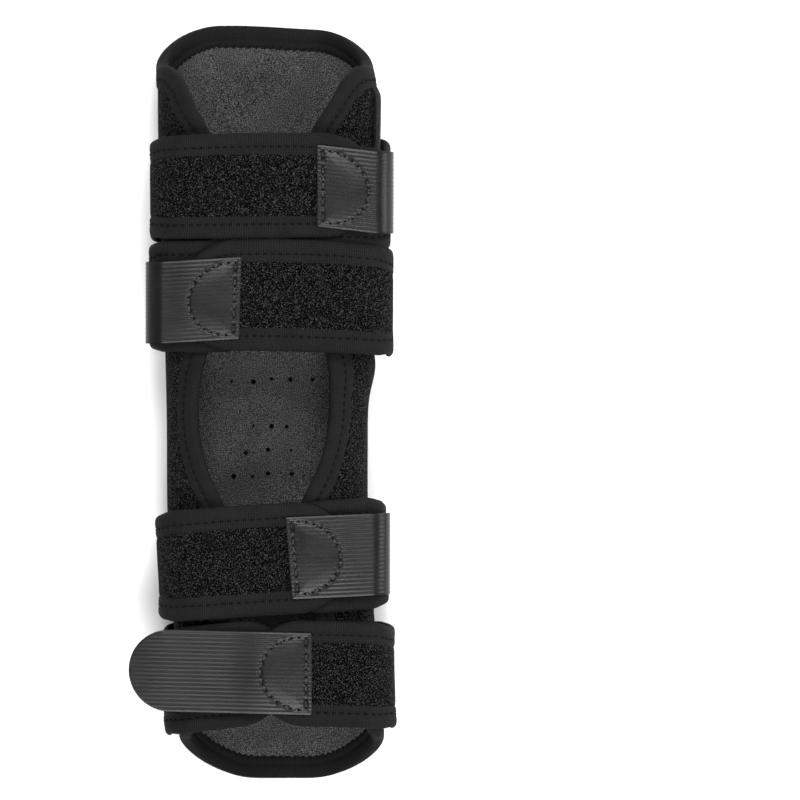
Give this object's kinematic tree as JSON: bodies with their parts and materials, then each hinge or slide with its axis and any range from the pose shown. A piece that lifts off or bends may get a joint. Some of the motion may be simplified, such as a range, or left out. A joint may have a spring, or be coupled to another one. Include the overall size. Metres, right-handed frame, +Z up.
{
  "type": "forearm and wrist guard",
  "caption": "Long C-shaped padded forearm and wrist guard with bound edges, an open front closed by padded hook-and-loop bands, and removable stays along the back.",
  "frame": {"origin": "bottom centre of the bounding box: the guard lies on the backs of its bands", "axes": "+Z up through the front opening, +Y along the forearm towards the elbow end, +X to the right seen from above"},
  "size_m": [0.0993, 0.282, 0.072],
  "materials": {
    "loop_fabric": "napped unbroken loop",
    "foam": "matt closed-cell foam",
    "lining_knit": "fine knit with small vent holes",
    "binding_knit": "fine ribbed knit tape",
    "hook_plastic": "satin, moulded in fine ribs",
    "woven_tape": "flat woven tape",
    "stay_aluminium": "satin"
  },
  "bodies": {
    "root": {"outer_shell": "loop_fabric", "foam_core": "foam", "lining": "lining_knit", "edge_binding": "binding_knit", "side_seam_tape": "woven_tape", "left_stay_sleeve": "woven_tape", "right_stay_sleeve": "woven_tape", "band_1_back": "loop_fabric", "band_2_back": "loop_fabric", "band_3_back": "loop_fabric", "band_4_back": "loop_fabric"},
    "strap_1": {"strap_1_pad": "loop_fabric", "strap_1_binding": "binding_knit", "hook_tab_1_sewn_end": "hook_plastic"},
    "hook_tab_1": {"hook_tab_1_free_end": "hook_plastic"},
    "under_flap_1": {"under_flap_1_pad": "loop_fabric", "under_flap_1_binding": "binding_knit"},
    "strap_2": {"strap_2_pad": "loop_fabric", "strap_2_binding": "binding_knit", "hook_tab_2_sewn_end": "hook_plastic"},
    "hook_tab_2": {"hook_tab_2_free_end": "hook_plastic"},
    "under_flap_2": {"under_flap_2_pad": "loop_fabric", "under_flap_2_binding": "binding_knit"},
    "strap_3": {"strap_3_pad": "loop_fabric", "strap_3_binding": "binding_knit", "hook_tab_3_sewn_end": "hook_plastic"},
    "hook_tab_3": {"hook_tab_3_free_end": "hook_plastic"},
    "under_flap_3": {"under_flap_3_pad": "loop_fabric", "under_flap_3_binding": "binding_knit"},
    "strap_4": {"strap_4_pad": "loop_fabric", "strap_4_binding": "binding_knit", "hook_tab_4_sewn_end": "hook_plastic"},
    "hook_tab_4": {"hook_tab_4_free_end": "hook_plastic"},
    "under_flap_4": {"under_flap_4_pad": "loop_fabric", "under_flap_4_binding": "binding_knit"},
    "left_stay": {"left_stay": "stay_aluminium"},
    "right_stay": {"right_stay": "stay_aluminium"}
  },
  "joints": [
    {"name": "strap_1_open", "type": "hinge", "parent": "root", "child": "strap_1", "pos_m": [-0.0403, 0.079, 0.054], "axis": [0, -1, 0], "range_deg": [0, 120]},
    {"name": "hook_tab_1_peel", "type": "hinge", "parent": "strap_1", "child": "hook_tab_1", "pos_m": [0.0437, 0.079, 0.07145], "axis": [0, -1, 0], "range_deg": [0, 90]},
    {"name": "under_flap_1_open", "type": "hinge", "parent": "root", "child": "under_flap_1", "pos_m": [0.0465, 0.079, 0.054], "axis": [0, 1, 0], "range_deg": [0, 72]},
    {"name": "strap_2_open", "type": "hinge", "parent": "root", "child": "strap_2", "pos_m": [0.0476, 0.0386, 0.054], "axis": [0, 1, 0], "range_deg": [0, 120]},
    {"name": "hook_tab_2_peel", "type": "hinge", "parent": "strap_2", "child": "hook_tab_2", "pos_m": [-0.0309, 0.0386, 0.07145], "axis": [0, 1, 0], "range_deg": [0, 90]},
    {"name": "under_flap_2_open", "type": "hinge", "parent": "root", "child": "under_flap_2", "pos_m": [-0.0406, 0.0386, 0.054], "axis": [0, -1, 0], "range_deg": [0, 72]},
    {"name": "strap_3_open", "type": "hinge", "parent": "root", "child": "strap_3", "pos_m": [-0.0374, -0.0592, 0.054], "axis": [0, -1, 0], "range_deg": [0, 120]},
    {"name": "hook_tab_3_peel", "type": "hinge", "parent": "strap_3", "child": "hook_tab_3", "pos_m": [0.0331, -0.05744, 0.07145], "axis": [0, -1, 0], "range_deg": [0, 90]},
    {"name": "under_flap_3_open", "type": "hinge", "parent": "root", "child": "under_flap_3", "pos_m": [0.045, -0.0592, 0.054], "axis": [0, 1, 0], "range_deg": [0, 72]},
    {"name": "strap_4_open", "type": "hinge", "parent": "root", "child": "strap_4", "pos_m": [0.0482, -0.1022, 0.054], "axis": [0, 1, 0], "range_deg": [0, 120]},
    {"name": "hook_tab_4_peel", "type": "hinge", "parent": "strap_4", "child": "hook_tab_4", "pos_m": [-0.0042, -0.1022, 0.07145], "axis": [0, 1, 0], "range_deg": [0, 110]},
    {"name": "under_flap_4_open", "type": "hinge", "parent": "root", "child": "under_flap_4", "pos_m": [-0.0353, -0.1022, 0.054], "axis": [0, -1, 0], "range_deg": [0, 72]},
    {"name": "left_stay_slide", "type": "slide", "parent": "root", "child": "left_stay", "axis": [0, 1, 0], "range_m": [0, 0.15]},
    {"name": "right_stay_slide", "type": "slide", "parent": "root", "child": "right_stay", "axis": [0, 1, 0], "range_m": [0, 0.15]}
  ],
  "couplings": [
    {"joint": "under_flap_1_open", "follows": "strap_1_open", "ratio": 0.6},
    {"joint": "under_flap_2_open", "follows": "strap_2_open", "ratio": 0.6},
    {"joint": "under_flap_3_open", "follows": "strap_3_open", "ratio": 0.6},
    {"joint": "under_flap_4_open", "follows": "strap_4_open", "ratio": 0.6}
  ]
}
